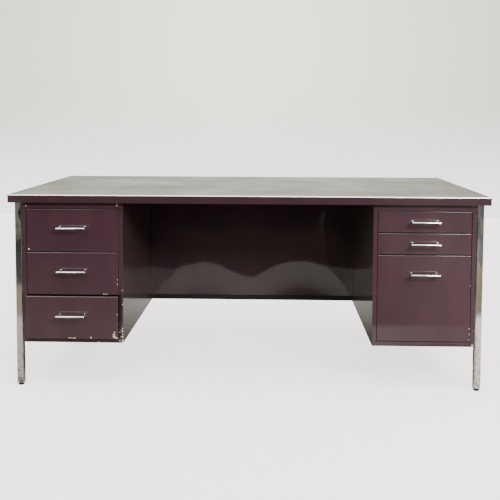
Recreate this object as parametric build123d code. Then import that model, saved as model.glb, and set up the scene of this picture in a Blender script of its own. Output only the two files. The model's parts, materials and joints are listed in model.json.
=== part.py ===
from build123d import *
import os

# A double-pedestal steel teacher's desk on four square-tube legs, in millimetres.
# X runs along the desk, -Y is the side with the drawers, +Z is up.
# The origin is on the floor, at the centre of the desk's overall box.

# ---- desk top
top_width = 1828.8
top_depth = 914.4
desk_height = 746.1
top_thickness = 31.5
top_corner_radius = 5.0
top_edge_radius = 4.5
top_lip_width = 7.0
top_return_width = 12.0
band_wall = 2.4
laminate_thickness = 1.0
laminate_gap = 0.3

# ---- sheet steel
sheet_gauge = 1.2
tray_gauge = 1.0
frame_gauge = 1.5

# ---- legs and their levelling glides
leg_size = 25.4
leg_wall = 1.6
leg_corner_radius = 2.5
leg_side_inset = 22.4
leg_lift = 10.0
glide_foot_radius = 11.5
glide_foot_height = 8.0
glide_foot_bevel = 1.5
glide_stem_radius = 4.0
glide_stem_length = 40.0
glide_stem_clearance = 0.06
insert_height = 20.0
spacer_radius = 8.0
bolt_radius = 3.0
bolt_head_radius = 5.5
bolt_head_height = 4.0
bolt_end_distance = 60.0
bolt_reach = 6.0
hole_clearance = 0.4

# ---- pedestals
front_setback = 18.7
rear_overhang = 160.0
pedestal_width = 387.6
pedestal_leg_gap = 2.0
pedestal_clearance = 171.7
stile_width = 16.0
top_rail_height = 24.0
bottom_rail_height = 17.3
frame_depth = 22.0
frame_edge_radius = 1.2
fixing_strip_width = 20.0
fixing_strip_thickness = 2.0
fixing_screw_inset = 90.0
fixing_screw_radius = 2.0
fixing_screw_length = 16.0
fixing_head_radius = 4.5
fixing_head_height = 3.0

# ---- modesty panel, a double skin on a rail
modesty_depth = 18.0
modesty_rail_height = 22.0
modesty_rail_proud = 4.0

# ---- drawer fronts; each opening is six units high, and a row takes one, two or four of them
units_in_opening = 6
left_rows = (2, 2, 2)
right_rows = (1, 1, 4)
front_depth = 18.0
front_edge_radius = 2.5
front_side_gap = 1.5
front_gap = 3.0
ajar_row = 2
ajar_opening = 17.0

# ---- drawer trays
slide_space = 12.8
tray_lift = 8.0
tray_head_room = 18.0
tray_rear_clearance = 60.0

# ---- box drawer runners: a channel, a nylon pad at its front and a nylon shoe on the tray
channel_lift = 27.0
channel_inner_height = 24.0
channel_tray_gap = 2.0
channel_front_gap = 2.0
channel_overrun = 5.0
pad_length = 30.0
pad_height = 8.0
flange_width = 10.5
flange_thickness = 2.5
shoe_length = 30.0
running_gap = 0.3
stop_setback = 170.0
stop_length = 3.0
stop_drop = 8.0
stop_side_gap = 1.0

# ---- file drawer's telescopic slides and its hanging rails
slide_clearance = 0.4
slide_height = 46.0
slide_height_above_bottom = 90.0
slide_margin = 30.0
bracket_length = 30.0
bracket_inset = 60.0
hanging_rail_height = 10.0
hanging_rail_thickness = 3.0

# ---- bar pulls
pull_projection = 38.0
pull_bar_radius = 5.0
pull_bar_length = 112.0
pull_post_radius = 3.5
pull_post_spacing = 96.0
pull_bar_bevel = 0.8
pull_screw_radius = 2.0
pull_screw_depth = 12.0
pull_screw_head_radius = 4.0
pull_screw_head_height = 2.5
pull_drop = 72.0

# ---- places that follow from the sizes above
pull_overhang = max(0.0, pull_projection + ajar_opening - front_setback)
top_rear = (top_depth + pull_overhang) / 2
top_front = top_rear - top_depth
underside = desk_height - top_thickness
front_plane = top_front + front_setback
back_plane = top_rear - rear_overhang
leg_outer = top_width / 2 - leg_side_inset
pedestal_outer = leg_outer - leg_size - pedestal_leg_gap
pedestal_inner = pedestal_outer - pedestal_width
pedestal_centre = (pedestal_outer + pedestal_inner) / 2
wall_inner = pedestal_width / 2 - sheet_gauge
opening_half = pedestal_width / 2 - stile_width
opening_bottom = pedestal_clearance + bottom_rail_height
opening_top = underside - top_rail_height
unit_height = (opening_top - opening_bottom) / units_in_opening
front_half = opening_half - front_side_gap
tray_half = opening_half - slide_space
tray_start = front_plane + front_depth + tray_gauge
tray_end = back_plane - sheet_gauge - tray_rear_clearance
channel_start = front_plane + frame_depth + channel_front_gap
channel_edge = tray_half + channel_tray_gap
shoe_front = tray_end - shoe_length
file_slide_length = tray_end - channel_start - slide_margin
modesty_front = back_plane - modesty_depth
sides = {"left": -1, "right": 1}


def block(x, y, z):
    """A box between two x, two y and two z values, given in either order."""
    sizes = [abs(pair[1] - pair[0]) for pair in (x, y, z)]
    centre = [(pair[0] + pair[1]) / 2 for pair in (x, y, z)]
    return Pos(*centre) * Box(*sizes)


def span(centre, sign, near, far):
    """Two X values at given distances to one side of a centre."""
    return (centre + sign * near, centre + sign * far)


def rod(centre, radius, length, axis):
    """A cylinder centred on a point, with its length along the named axis."""
    turns = {"x": Rot(0, 90, 0), "y": Rot(90, 0, 0), "z": Rot(0, 0, 0)}
    return Pos(*centre) * turns[axis] * Cylinder(radius, length)


def save(node, *solids):
    """Write the solids of one sub-part."""
    export_step(Compound(children=list(solids)), f"parts/{node}.step")


def rows_of(side):
    """Each drawer of a pedestal from the top down, as its name, bottom and top."""
    found = []
    top = opening_top
    for number, units in enumerate(left_rows if side == "left" else right_rows, 1):
        bottom = top - units * unit_height
        kind = "file_drawer" if units > 2 else f"{side}_drawer_{number}"
        found.append((kind, bottom, top))
        top = bottom
    return found


def fixing_points():
    """Where a screw goes up through a fixing strip into the top."""
    strip_middle = wall_inner - fixing_strip_width / 2
    points = []
    for sign in sides.values():
        for across in (-strip_middle, strip_middle):
            for y in (front_plane + fixing_screw_inset, back_plane - fixing_screw_inset):
                points.append((sign * pedestal_centre + across, y))
    return points


# ------------------------------------------------------------------ desk top
def make_top_edge():
    """The folded steel band: outer wall, rounded upper lip and lower return."""
    x = top_width / 2
    body = block((-x, x), (top_front, top_rear), (underside, desk_height))
    body = fillet(body.edges().filter_by(Axis.Z), top_corner_radius)
    body = fillet(body.faces().sort_by(Axis.Z)[-1].edges(), top_edge_radius)

    def inside(margin, low, high):
        return block((-x + margin, x - margin), (top_front + margin, top_rear - margin), (low, high))

    body -= inside(band_wall, underside + sheet_gauge, desk_height - sheet_gauge)
    body -= inside(top_lip_width, desk_height - sheet_gauge * 2, desk_height + 1)
    body -= inside(top_return_width, underside - 1, underside + sheet_gauge * 2)
    save("top_edge", body)


def make_top_fill():
    """The core, the laminate on it and the steel pan under it, drilled for the screws."""
    x = top_width / 2
    core_top = desk_height - sheet_gauge

    def sheet(margin, low, high):
        return block((-x + margin, x - margin), (top_front + margin, top_rear - margin), (low, high))

    core = sheet(band_wall, underside + sheet_gauge, core_top)
    laminate = sheet(top_lip_width + laminate_gap, core_top, core_top + laminate_thickness)
    pan = sheet(top_return_width + laminate_gap, underside, underside + sheet_gauge)
    screw_top = underside - fixing_strip_thickness + fixing_screw_length
    for px, py in fixing_points():
        hole_middle = (underside + screw_top) / 2
        core -= rod((px, py, hole_middle), fixing_screw_radius, screw_top - underside, "z")
        pan -= rod((px, py, underside), fixing_screw_radius + hole_clearance, sheet_gauge * 4, "z")
    save("top_core", core)
    save("top_laminate", laminate)
    save("top_underside", pan)


# ------------------------------------------------------------------ legs
def leg_places():
    """Each leg's name, its side, and its middle in X and Y."""
    middle = leg_outer - leg_size / 2
    rows = {"front": front_plane + leg_size / 2, "rear": back_plane - leg_size / 2}
    places = []
    for row, y in rows.items():
        for side, sign in sides.items():
            places.append((f"{row}_{side}", sign, sign * middle, y))
    return places


def bolt_heights():
    """The heights of the two bolts between a leg and its pedestal."""
    return (pedestal_clearance + bolt_end_distance, underside - bolt_end_distance)


def make_legs():
    """Four square tubes, with a threaded plug and a levelling glide in each foot."""
    inner = leg_size - 2 * leg_wall
    plugs = []
    for name, sign, x, y in leg_places():
        height = underside - leg_lift
        tube = Pos(x, y, leg_lift + height / 2) * Box(leg_size, leg_size, height)
        tube = fillet(tube.edges().filter_by(Axis.Z), leg_corner_radius)
        tube -= Pos(x, y, leg_lift + height / 2) * Box(inner, inner, height)
        for z in bolt_heights():
            tube -= rod((x - sign * leg_size / 2, y, z), bolt_radius, leg_wall * 4, "x")
        save(f"leg_{name}", tube)

        plug = Pos(x, y, leg_lift + insert_height / 2) * Box(inner, inner, insert_height)
        plug -= rod((x, y, leg_lift), glide_stem_radius + glide_stem_clearance, insert_height * 3, "z")
        plugs.append(plug)

        foot = rod((x, y, glide_foot_height / 2), glide_foot_radius, glide_foot_height, "z")
        foot = chamfer(foot.edges().group_by(Axis.Z)[0], glide_foot_bevel)
        stem_middle = glide_foot_height + glide_stem_length / 2
        save(f"glide_{name}", foot + rod((x, y, stem_middle), glide_stem_radius, glide_stem_length, "z"))
    save("leg_inserts", *plugs)


def make_leg_bolts():
    """Bolts from inside the pedestals into the legs, through spacers that hold the gap."""
    solids = []
    wall = pedestal_outer - sheet_gauge
    hole = bolt_radius + hole_clearance
    shank_end = pedestal_outer + pedestal_leg_gap + bolt_reach
    for _, sign, _, y in leg_places():
        for z in bolt_heights():
            spacer = rod((sign * (pedestal_outer + pedestal_leg_gap / 2), y, z), spacer_radius,
                         pedestal_leg_gap, "x")
            spacer -= rod((sign * pedestal_outer, y, z), hole, pedestal_leg_gap * 4, "x")
            head = rod((sign * (wall - bolt_head_height / 2), y, z), bolt_head_radius, bolt_head_height, "x")
            shank = rod((sign * (wall + shank_end) / 2, y, z), bolt_radius, shank_end - wall, "x")
            solids += [spacer, head + shank]
    save("leg_bolts", *solids)


# ------------------------------------------------------------------ pedestals
def make_pedestal(side):
    """The case of one pedestal: two sides, back, bottom, fixing strips and front frame."""
    sign = sides[side]
    centre = sign * pedestal_centre
    half = pedestal_width / 2
    sheet_front = front_plane + frame_gauge
    sheet_back = back_plane - sheet_gauge
    height = (pedestal_clearance, underside)
    hole = bolt_radius + hole_clearance

    outer = block(span(centre, sign, wall_inner, half), (sheet_front, sheet_back), height)
    for _, leg_sign, _, y in leg_places():
        if leg_sign == sign:
            for z in bolt_heights():
                outer -= rod((sign * pedestal_outer, y, z), hole, sheet_gauge * 4, "x")
    save(f"{side}_outer_side", outer)
    inner = block(span(centre, -sign, wall_inner, half), (sheet_front, sheet_back), height)
    save(f"{side}_inner_side", inner)
    save(f"{side}_back", block(span(centre, 1, -half, half), (sheet_back, back_plane), height))
    floor = (pedestal_clearance, pedestal_clearance + sheet_gauge)
    save(f"{side}_bottom", block(span(centre, 1, -wall_inner, wall_inner), (sheet_front, sheet_back), floor))
    make_fixing_strips(side, centre, sheet_back)
    make_front_frame(side, centre)


def make_fixing_strips(side, centre, sheet_back):
    """Flat strips round the top of a pedestal, screwed up into the desk top."""
    height = (underside - fixing_strip_thickness, underside)
    strip_inner = wall_inner - fixing_strip_width
    strips = []
    for sign in (-1, 1):
        near, far = sorted(span(centre, sign, strip_inner, wall_inner))
        strip = block((near, far), (channel_start, sheet_back), height)
        for x, y in fixing_points():
            if near < x < far:
                hole_radius = fixing_screw_radius + hole_clearance
                strip -= rod((x, y, underside), hole_radius, fixing_strip_thickness * 4, "z")
        strips.append(strip)
    rear = (sheet_back - fixing_strip_width, sheet_back)
    strips.append(block(span(centre, 1, -strip_inner, strip_inner), rear, height))
    save(f"{side}_fixing_strips", *strips)


def make_front_frame(side, centre):
    """Stiles and rails of the drawer opening, each a folded strip with an inner return."""
    half = pedestal_width / 2
    face = (front_plane, front_plane + frame_gauge)
    deep = (front_plane, front_plane + frame_depth)
    solids = []
    for sign in (-1, 1):
        plate = block(span(centre, sign, opening_half, half), face, (pedestal_clearance, underside))
        front_edges = plate.edges().filter_by(Axis.Z).group_by(Axis.Y)[0].sort_by(Axis.X)
        plate = fillet(front_edges[-1 if sign > 0 else 0], frame_edge_radius)
        fold = block(span(centre, sign, opening_half, opening_half + frame_gauge), deep,
                     (opening_bottom, opening_top))
        solids.append(plate + fold)
    across = span(centre, 1, -opening_half, opening_half)
    rails = ((pedestal_clearance, opening_bottom, -1), (underside, opening_top, 1))
    for outer_z, inner_z, away in rails:
        plate = block(across, face, (outer_z, inner_z))
        solids.append(plate + block(across, deep, (inner_z, inner_z + away * frame_gauge)))
    save(f"{side}_front_frame", *solids)


def make_fixing_screws():
    """The screws that hold the top down on the pedestals."""
    solids = []
    seat = underside - fixing_strip_thickness
    for x, y in fixing_points():
        shank = rod((x, y, seat + fixing_screw_length / 2), fixing_screw_radius, fixing_screw_length, "z")
        head = rod((x, y, seat - fixing_head_height / 2), fixing_head_radius, fixing_head_height, "z")
        solids.append(shank + head)
    save("top_fixing_screws", *solids)


def make_modesty():
    """The double-skinned panel between the pedestals, standing on a square rail."""
    across = (-pedestal_inner, pedestal_inner)
    rail_top = pedestal_clearance + modesty_rail_height
    skin_height = (rail_top, underside)
    save("modesty_panel", block(across, (modesty_front, modesty_front + sheet_gauge), skin_height))
    save("modesty_back", block(across, (back_plane - sheet_gauge, back_plane), skin_height))
    rail_front = modesty_front - modesty_rail_proud
    rail = block(across, (rail_front, back_plane), (pedestal_clearance, rail_top))
    rail -= block(across, (rail_front + sheet_gauge, back_plane - sheet_gauge),
                  (pedestal_clearance + sheet_gauge, rail_top - sheet_gauge))
    save("modesty_rail", rail)


# ------------------------------------------------------------------ drawers
def front_heights(bottom, top):
    """The bottom and top of a drawer front within its row."""
    return (bottom + front_gap / 2, top - front_gap / 2)


def pull_height(bottom, top):
    """The height of a pull: a set drop below the front's top edge, or half-way down a shallow front."""
    low, high = front_heights(bottom, top)
    return high - min(pull_drop, (high - low) / 2)


def make_front(name, centre, shift, bottom, top):
    """A drawer front: a shallow pan with rounded edges, drilled for its pull."""
    low, high = front_heights(bottom, top)
    face = front_plane + shift
    rear = face + front_depth
    pan = block(span(centre, 1, -front_half, front_half), (face, rear), (low, high))
    pan = fillet(pan.faces().sort_by(Axis.Y)[0].edges(), front_edge_radius)
    hollow_half = front_half - sheet_gauge
    pan -= block(span(centre, 1, -hollow_half, hollow_half), (face + sheet_gauge, rear + 1),
                 (low + sheet_gauge, high - sheet_gauge))
    for sign in (-1, 1):
        pan -= rod((centre + sign * pull_post_spacing / 2, face, pull_height(bottom, top)),
                   pull_screw_radius + hole_clearance, sheet_gauge * 4, "y")
    save(f"{name}_front", pan)


def make_pull(name, centre, shift, height):
    """A bar on two posts, with the screws that hold it from inside the front."""
    face = front_plane + shift
    bar_y = face - pull_projection + pull_bar_radius
    bar = rod((centre, bar_y, height), pull_bar_radius, pull_bar_length, "x")
    bar = chamfer(bar.edges().filter_by(GeomType.CIRCLE), pull_bar_bevel)
    inside = face + sheet_gauge
    screws = []
    for sign in (-1, 1):
        x = centre + sign * pull_post_spacing / 2
        bar += rod((x, (bar_y + face) / 2, height), pull_post_radius, face - bar_y, "y")
        bar -= rod((x, face, height), pull_screw_radius, pull_screw_depth * 2, "y")
        shank = rod((x, (face - pull_screw_depth + inside) / 2, height), pull_screw_radius,
                    pull_screw_depth + sheet_gauge, "y")
        head = rod((x, inside + pull_screw_head_height / 2, height), pull_screw_head_radius,
                   pull_screw_head_height, "y")
        screws.append(shank + head)
    save(f"{name}_pull", bar, *screws)


def tray_sheets(centre, shift, bottom, top):
    """The inner front, sides, bottom and back of a drawer's tray."""
    low, high = front_heights(bottom, top)
    floor = low + tray_lift
    rim = high - tray_head_room
    start = tray_start + shift
    end = tray_end + shift
    inner = tray_half - tray_gauge
    across = span(centre, 1, -inner, inner)
    sheets = [block(span(centre, 1, -front_half, front_half), (start - tray_gauge, start), (low, high))]
    for sign in (-1, 1):
        sheets.append(block(span(centre, sign, inner, tray_half), (start, end), (floor, rim)))
    sheets.append(block(across, (start, end), (floor, floor + tray_gauge)))
    sheets.append(block(across, (end - tray_gauge, end), (floor + tray_gauge, rim)))
    return sheets


def make_box_drawer(name, centre, shift, bottom, top):
    """A drawer that runs on nylon shoes: front, tray with side flanges, shoes and pull."""
    make_front(name, centre, shift, bottom, top)
    make_pull(name, centre, shift, pull_height(bottom, top))
    channel_floor = bottom + channel_lift
    flange_low = channel_floor + pad_height + running_gap
    flange_high = flange_low + flange_thickness
    flanges = []
    shoes = []
    shoe_height = (channel_floor + running_gap, channel_floor + channel_inner_height - running_gap)
    shoe_edge = wall_inner - sheet_gauge - running_gap
    for sign in (-1, 1):
        flanges.append(block(span(centre, sign, tray_half, tray_half + flange_width),
                             (tray_start + shift, shoe_front + shift), (flange_low, flange_high)))
        shoes.append(block(span(centre, sign, tray_half, shoe_edge),
                           (shoe_front + shift, tray_end + shift), shoe_height))
    save(f"{name}_tray", *tray_sheets(centre, shift, bottom, top), *flanges)
    save(f"{name}_shoes", *shoes)


def make_channels(side):
    """The channels of a pedestal's box drawers, with the stops at their fronts."""
    centre = sides[side] * pedestal_centre
    length = (channel_start, tray_end + channel_overrun)
    pad_y = (channel_start, channel_start + pad_length)
    stop_rear = front_plane + stop_setback
    flange_edge = tray_half + flange_width
    web_face = wall_inner - sheet_gauge
    channels = []
    pads = []
    for name, bottom, _ in rows_of(side):
        if name == "file_drawer":
            continue
        floor = bottom + channel_lift
        ceiling = floor + channel_inner_height
        for sign in (-1, 1):
            channel = block(span(centre, sign, channel_edge, wall_inner), length,
                            (floor - sheet_gauge, ceiling + sheet_gauge))
            channel -= block(span(centre, sign, channel_edge - 1, web_face), length, (floor, ceiling))
            channel += block(span(centre, sign, flange_edge + stop_side_gap, web_face),
                             (stop_rear - stop_length, stop_rear), (ceiling - stop_drop, ceiling))
            channels.append(channel)
            pads.append(block(span(centre, sign, channel_edge, flange_edge), pad_y,
                              (floor, floor + pad_height)))
    save(f"{side}_channels", *channels)
    return pads


def slide_section(centre, sign, lip_edge, web_face, height, middle, y):
    """A folded slide member with its web at one face and its lips reaching to the other edge."""
    inward = -sheet_gauge if web_face > lip_edge else sheet_gauge
    outside = (middle - height / 2, middle + height / 2)
    inside = (outside[0] + sheet_gauge, outside[1] - sheet_gauge)
    member = block(span(centre, sign, lip_edge, web_face), y, outside)
    return member - block(span(centre, sign, lip_edge + inward, web_face + inward), y, inside)


def make_file_drawer(centre, bottom, top):
    """The file drawer on three-part telescopic slides, with rails for hanging folders."""
    low, high = front_heights(bottom, top)
    make_front("file_drawer", centre, 0, bottom, top)
    make_pull("file_drawer", centre, 0, pull_height(bottom, top))

    rim = high - tray_head_room
    side_face = tray_half - tray_gauge
    rails = []
    for sign in (-1, 1):
        rails.append(block(span(centre, sign, side_face, side_face - hanging_rail_thickness),
                           (tray_start, tray_end - tray_gauge), (rim - hanging_rail_height, rim)))
    save("file_drawer_tray", *tray_sheets(centre, 0, bottom, top), *rails)
    make_file_slides(centre, low + slide_height_above_bottom)


def make_file_slides(centre, middle):
    """The cabinet, middle and drawer members of the file drawer's slides, and their brackets."""
    length = (channel_start, channel_start + file_slide_length)
    step = sheet_gauge + slide_clearance
    web = opening_half - slide_clearance
    bracket_low = middle - slide_height / 2
    bracket_high = middle + slide_height / 2
    fixed = []
    between = []
    riding = []
    for sign in (-1, 1):
        fixed.append(slide_section(centre, sign, tray_half + sheet_gauge, web, slide_height, middle, length))
        between.append(slide_section(centre, sign, tray_half + step, web - step,
                                     slide_height - 2 * step, middle, length))
        riding.append(slide_section(centre, sign, web - 2 * step, tray_half,
                                    slide_height - 4 * step, middle, length))
        for start in (length[0] + bracket_inset, length[1] - bracket_inset - bracket_length):
            y = (start, start + bracket_length)
            bracket = block(span(centre, sign, web, wall_inner), y, (bracket_low, bracket_high))
            bracket -= block(span(centre, sign, web + sheet_gauge, wall_inner - sheet_gauge), y,
                             (bracket_low - 1, bracket_high - sheet_gauge))
            fixed.append(bracket)
    save("file_cabinet_slides", *fixed)
    save("file_middle_slides", *between)
    save("file_drawer_slides", *riding)


def make_drawers():
    """Every drawer of both pedestals, and the pads at the fronts of the channels."""
    pads = []
    for side, sign in sides.items():
        centre = sign * pedestal_centre
        for number, (name, bottom, top) in enumerate(rows_of(side)):
            if name == "file_drawer":
                make_file_drawer(centre, bottom, top)
                continue
            shift = -ajar_opening if side == "left" and number == ajar_row else 0.0
            make_box_drawer(name, centre, shift, bottom, top)
        pads += make_channels(side)
    save("channel_pads", *pads)


os.makedirs("parts", exist_ok=True)
make_top_edge()
make_top_fill()
make_legs()
make_leg_bolts()
make_pedestal("left")
make_pedestal("right")
make_fixing_screws()
make_modesty()
make_drawers()
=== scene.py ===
"""Finish and studio for a double-pedestal steel teacher's desk."""

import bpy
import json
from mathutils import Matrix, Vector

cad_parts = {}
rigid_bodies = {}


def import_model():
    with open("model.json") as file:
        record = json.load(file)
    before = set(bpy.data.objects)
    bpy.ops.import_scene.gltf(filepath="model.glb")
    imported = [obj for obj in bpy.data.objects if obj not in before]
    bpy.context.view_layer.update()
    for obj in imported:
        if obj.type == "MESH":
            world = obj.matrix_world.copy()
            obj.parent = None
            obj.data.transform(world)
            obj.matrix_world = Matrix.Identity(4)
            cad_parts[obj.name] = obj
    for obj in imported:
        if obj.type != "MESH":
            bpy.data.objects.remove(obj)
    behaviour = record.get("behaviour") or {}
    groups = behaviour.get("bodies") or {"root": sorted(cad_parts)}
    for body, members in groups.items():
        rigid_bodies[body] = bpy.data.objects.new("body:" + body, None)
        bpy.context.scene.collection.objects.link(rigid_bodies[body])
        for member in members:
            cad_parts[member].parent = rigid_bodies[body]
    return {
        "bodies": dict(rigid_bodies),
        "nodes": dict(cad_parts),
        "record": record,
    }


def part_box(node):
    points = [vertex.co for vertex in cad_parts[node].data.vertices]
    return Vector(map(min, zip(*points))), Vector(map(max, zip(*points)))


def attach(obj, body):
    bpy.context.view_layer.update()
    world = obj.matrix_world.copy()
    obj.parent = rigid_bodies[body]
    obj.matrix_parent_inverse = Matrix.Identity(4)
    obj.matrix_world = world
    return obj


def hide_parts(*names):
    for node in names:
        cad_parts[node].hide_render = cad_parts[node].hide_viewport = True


bl_info = {
    "name": "Teacher Desk Finish",
    "version": (1, 0, 0),
    "blender": (4, 5, 0),
    "location": "View3D > Sidebar > Desk",
    "description": "Pulls, pressed panels, finishes and a plain studio for a steel desk",
    "category": "Object",
}

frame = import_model()

import json
import math

import bmesh
import bpy
from mathutils import Matrix, Vector

MM = 0.001
DRAWERS = sorted(body for body in frame["bodies"] if "drawer" in body)
ROOT = "desk"
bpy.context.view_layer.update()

# Waves of the modesty panel's sheet: half waves across, half waves up, and each one's share of the height.
SHEET_WAVES = (
    (1, 1, 0.985), (2, 1, -0.412), (3, 1, 0.872), (5, 1, -0.42),
    (1, 2, -0.34), (3, 2, -0.152), (5, 2, -0.043),
    (1, 3, 0.265), (2, 3, -0.048), (3, 3, 0.123),
)
SHEET_CELLS = (96, 56)

# Sides of the turned rods, and the collars at the feet of a pull's posts, in millimetres.
BAR_SEGMENTS = 40
POST_SEGMENTS = 32
COLLAR_HEIGHT = 1.6
COLLAR_ROUNDING = 0.7

# Wear on the enamel, in millimetres: how far down and back the front edge is rubbed, how ragged that line is,
# and how wide the nicks along sharp edges are.
RUB_DEPTH = 4.4
RUB_REACH = 6.0
RUB_RAG = 1.2
NICK_WIDTH = 0.9
# Shares: how much of the edges is nicked, how far a chip spreads for its radius, how deep it sinks in the
# relief, how ragged a band of painted shade in a gap is, how much painted shade darkens the edge band, how
# thick the dust lies on the two sides of the knee space, and how thin its thinnest streaks are.
NICK_SHARE = 0.33
CHIP_SPREAD = 2.2
CHIP_SINK = -0.02
GAP_SHADE_RAG = 0.5
BAND_PAINTED_SHADE = 0.74
DUST_SHARES = {"left": 0.06, "right": 0.32}
DUST_THIN = 0.6

# Colours of the wear, and of the painted shade marked below.
# Painted shade in the gaps round the ajar third drawer.
PAINTED_GAP_SHADE = "#0B0708"
DUST = "#8C8870"
BARE_STEEL = "#D9D3CE"
# Painted shade along the laminate's sides and rear, by the lip's inner face.
LIP_PAINTED_SHADE = "#2E2B27"
CHROME = "#C9C4C2"
# Painted shade on the chrome's downward faces.
CHROME_UNDERSIDE_SHADE = "#3A3230"
CHROME_FLECK = "#5B5F5C"
CHROME_RUST = "#6E5138"

# The stage, in metres: half the floor's side, how far two more floors lie below it, the points that the soft
# lights face, the dim wall of the room, and the cove behind the desk.
FLOOR_HALF = 20.0
GLOSS_FLOOR_DROP = 0.004
BOUNCE_FLOOR_DROP = 0.008
KEY_AIM = (0.7, -0.4, 0.4)
FILL_AIM = (-0.7, -0.4, 0.4)
ROOM_WALL_Y = -8.0
ROOM_WALL_HALF = 10.0
ROOM_WALL_HEIGHT = 3.2
COVE_FOOT_Y = 4.6
COVE_FOOT_HEIGHT = 0.004
COVE_RADIUS = 2.4
COVE_RISE = 4.0
COVE_HALF = 9.0
# The paper's shade where only lamps light it, and the tones of what the desk alone sees.
PAPER_SHADE = 0.56
BOUNCE_FLOOR_TONE = "#5A544D"
ROOM_WALL_TONE = "#1A1917"

# A floor that only the desk's gloss sees, painted with the reflections it should show, painted shadow of the
# desk included, in fans from left to right. Each fan has an offset and a slope on Y, which give the line where
# it starts, the width that it fades in over, and its tones, each at its Y.
FLOOR_REACH = (-8.0, 2.0)
FLOOR_FANS = {
    "left leg": (-99.0, 0.0, 0.02, (
        (-8.0, "#6C6E68"), (-4.2, "#666862"), (-3.9, "#2E3532"), (-2.3, "#353D39"), (-2.1, "#7F786F"),
        (-1.5, "#7A746A"), (-1.4, "#A6A29C"), (0.9, "#A6A29C"), (1.2, "#8F8B85"))),
    "left drawers": (-0.723, 0.332, 0.02, (
        (-8.0, "#151311"), (-4.2, "#1E1C1A"), (-2.6, "#474340"), (-1.5, "#6E6860"), (-1.32, "#7C7872"),
        (-1.04, "#7C7872"), (-1.03, "#24211F"), (-0.97, "#24211F"), (-0.94, "#A6A29C"), (-0.31, "#A6A29C"),
        (-0.3, "#A39F99"), (0.9, "#A39F99"), (1.2, "#8F8B85"))),
    "knee space, left half": (-0.409, 0.204, 0.02, (
        (-8.0, "#0B0A09"), (-2.3, "#0D0C0B"), (-2.1, "#3D3833"), (-1.33, "#3D3833"), (-1.32, "#B4B0AA"),
        (-0.31, "#B4B0AA"), (-0.3, "#A39F99"), (0.9, "#A39F99"), (1.2, "#8F8B85"))),
    "knee space, right half": (0.0, 0.0, 0.02, (
        (-8.0, "#0B0A09"), (-2.3, "#0D0C0B"), (-2.1, "#3D3833"), (-1.33, "#3D3833"), (-1.32, "#B4B0AA"),
        (-0.31, "#B4B0AA"), (-0.3, "#85817A"), (0.9, "#85817A"), (1.2, "#8F8B85"))),
    "right drawers": (0.43, -0.14, 0.3, (
        (-8.0, "#6F6A63"), (-4.9, "#78726B"), (-3.6, "#7F7972"), (-2.9, "#7D7770"), (-2.2, "#6F6962"),
        (-1.33, "#756E66"), (-1.32, "#97938E"), (-1.04, "#97938E"), (-1.03, "#24211F"), (-0.97, "#24211F"),
        (-0.94, "#B4B0AA"), (-0.31, "#B4B0AA"), (-0.3, "#85817A"), (0.9, "#85817A"), (1.2, "#8F8B85"))),
    "right leg": (0.749, -0.271, 0.02, (
        (-8.0, "#343B38"), (-5.6, "#5A6460"), (-3.2, "#555F5B"), (-3.1, "#302F28"), (-2.95, "#6D6452"),
        (-1.62, "#686050"), (-1.58, "#43423B"), (-1.5, "#D2CFC9"), (0.9, "#D2CFC9"), (1.2, "#8F8B85"))),
}


def linear(code):
    """The linear colour of an sRGB hex code."""
    values = [int(code[at:at + 2], 16) / 255 for at in (1, 3, 5)]
    return tuple(v / 12.92 if v <= 0.04045 else ((v + 0.055) / 1.055) ** 2.4 for v in values)


def rgba(colour):
    """A colour with full opacity, for a colour socket."""
    return (*colour[:3], 1.0)


# ------------------------------------------------------------------ settings
class DeskFinishSettings(bpy.types.PropertyGroup):
    """Colours of the finishes."""

    enamel: bpy.props.FloatVectorProperty(
        name="Enamel", description="Gloss aubergine stove enamel of the case and fronts",
        subtype="COLOR", default=linear("#402830"))
    enamel_patch: bpy.props.FloatVectorProperty(
        name="Enamel patches", description="Redder patches where the enamel is thinner",
        subtype="COLOR", default=linear("#462C33"))
    undercoat: bpy.props.FloatVectorProperty(
        name="Undercoat", description="Cream undercoat that shows in a chip",
        subtype="COLOR", default=linear("#E6D5C0"))
    rust: bpy.props.FloatVectorProperty(
        name="Rust", description="Rust in the middle of the deeper chips",
        subtype="COLOR", default=linear("#8E6A4A"))
    laminate: bpy.props.FloatVectorProperty(
        name="Laminate", description="Grey decorative laminate of the writing surface",
        subtype="COLOR", default=linear("#564F48"))
    laminate_fleck: bpy.props.FloatVectorProperty(
        name="Laminate fleck", description="Darker fleck printed in the laminate",
        subtype="COLOR", default=linear("#4A4640"))


class DeskHardwareSettings(bpy.types.PropertyGroup):
    """Shapes of the turned and pressed pieces."""

    bar_rounding: bpy.props.FloatProperty(
        name="Bar rounding", description="Radius on the ends of a pull's bar",
        subtype="DISTANCE", unit="LENGTH", default=2.2 * MM)
    post_radius: bpy.props.FloatProperty(
        name="Post radius", description="Radius of a pull's posts",
        subtype="DISTANCE", unit="LENGTH", default=4.2 * MM)
    post_spacing: bpy.props.FloatProperty(
        name="Post spacing", description="Distance between a pull's two posts",
        subtype="DISTANCE", unit="LENGTH", default=96 * MM)
    collar_radius: bpy.props.FloatProperty(
        name="Collar radius", description="Radius of the collar where a post meets the front",
        subtype="DISTANCE", unit="LENGTH", default=7.0 * MM)
    sheet_wave: bpy.props.FloatProperty(
        name="Sheet wave", description="How far the modesty panel's thin sheet waves out of flat",
        subtype="DISTANCE", unit="LENGTH", default=6 * MM)


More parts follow.
